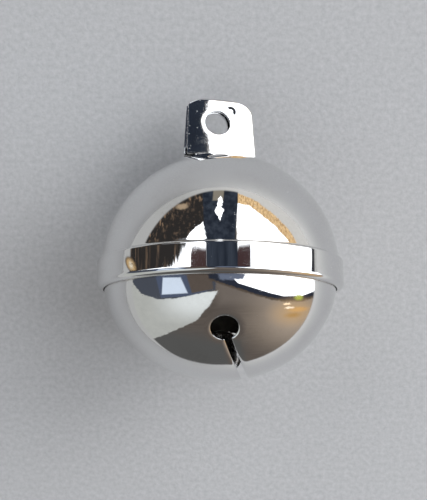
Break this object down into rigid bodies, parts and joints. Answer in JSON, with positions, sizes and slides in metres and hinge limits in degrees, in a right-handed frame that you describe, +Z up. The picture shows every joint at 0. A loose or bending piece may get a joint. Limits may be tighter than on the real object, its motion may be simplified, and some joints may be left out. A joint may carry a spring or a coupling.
{
  "type": "sleigh bell",
  "caption": "Round sleigh bell: domed upper shell crimped over a slotted bowl with round sound holes, folded hanging strap with a hole, loose pellet that rattles inside.",
  "frame": {"origin": "centre of the hanging strap's hole", "axes": "+Z up through the strap as the bell hangs, along the bell's axis; the hole's axis is Y; +X to the right, looking at the strap's face from -Y"},
  "size_m": [0.05, 0.05, 0.0595],
  "materials": {
    "polished_nickel": "mirror-polished nickel plate",
    "polished_nickel_bowl": "mirror-polished nickel plate",
    "polished_nickel_strap": "bright nickel plate on stamped strip",
    "pellet_steel": "tumbled steel ball"
  },
  "bodies": {
    "bell": {"upper_shell": "polished_nickel", "lower_shell": "polished_nickel_bowl", "hanging_strap": "polished_nickel_strap"},
    "pellet": {"pellet": "pellet_steel"}
  },
  "joints": [
    {"name": "pellet_roll", "type": "hinge", "parent": "bell", "child": "pellet", "pos_m": [0.0008, 0, -0.0316], "axis": [0, 1, 0], "continuous": true}
  ]
}
